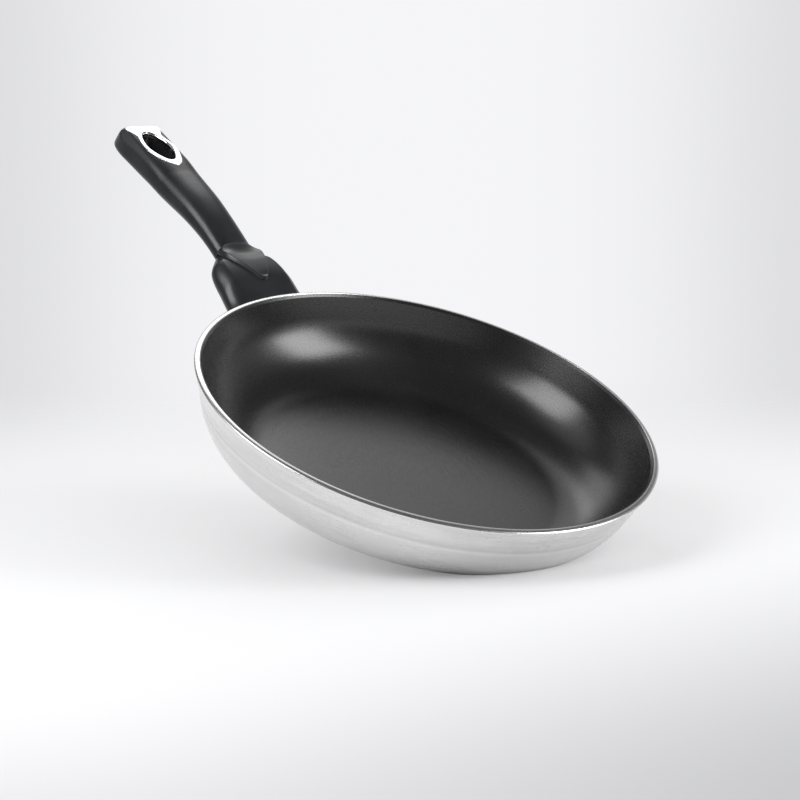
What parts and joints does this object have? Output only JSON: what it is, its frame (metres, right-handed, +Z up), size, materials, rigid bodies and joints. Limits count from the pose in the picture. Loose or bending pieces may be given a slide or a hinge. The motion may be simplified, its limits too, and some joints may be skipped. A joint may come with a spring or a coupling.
{
  "type": "frying pan",
  "caption": "Round frying pan with a flared rim, dark coated inside, perforated base plate and a long upswept moulded handle with an inlaid hanging ring.",
  "frame": {"origin": "centre of the base's underside, on the plane that the pan rests on", "axes": "+Z up along the bowl's axis, -X along the handle away from the bowl, +Y across the handle"},
  "size_m": [0.4793, 0.28, 0.0805],
  "materials": {
    "bowl_metal": "satin metal with fine turned lines",
    "coating": "dark grey non-stick coating with fine light speckle",
    "plate_steel": "brushed stainless steel",
    "lug_steel": "plain steel, cut and bent",
    "moulding": "satin black thermoset moulding",
    "ring_chrome": "bright chrome",
    "liner_gloss": "glossy black",
    "screw_steel": "plated steel"
  },
  "bodies": {
    "root": {"pan_body": "bowl_metal", "nonstick_coating": "coating", "base_plate": "plate_steel", "handle_lug": "lug_steel", "handle_shield": "moulding", "grip": "moulding", "hanging_ring": "ring_chrome", "hanging_liner": "liner_gloss", "clamp_screw": "screw_steel", "spring_washer": "screw_steel", "flat_washer": "screw_steel"}
  },
  "joints": []
}
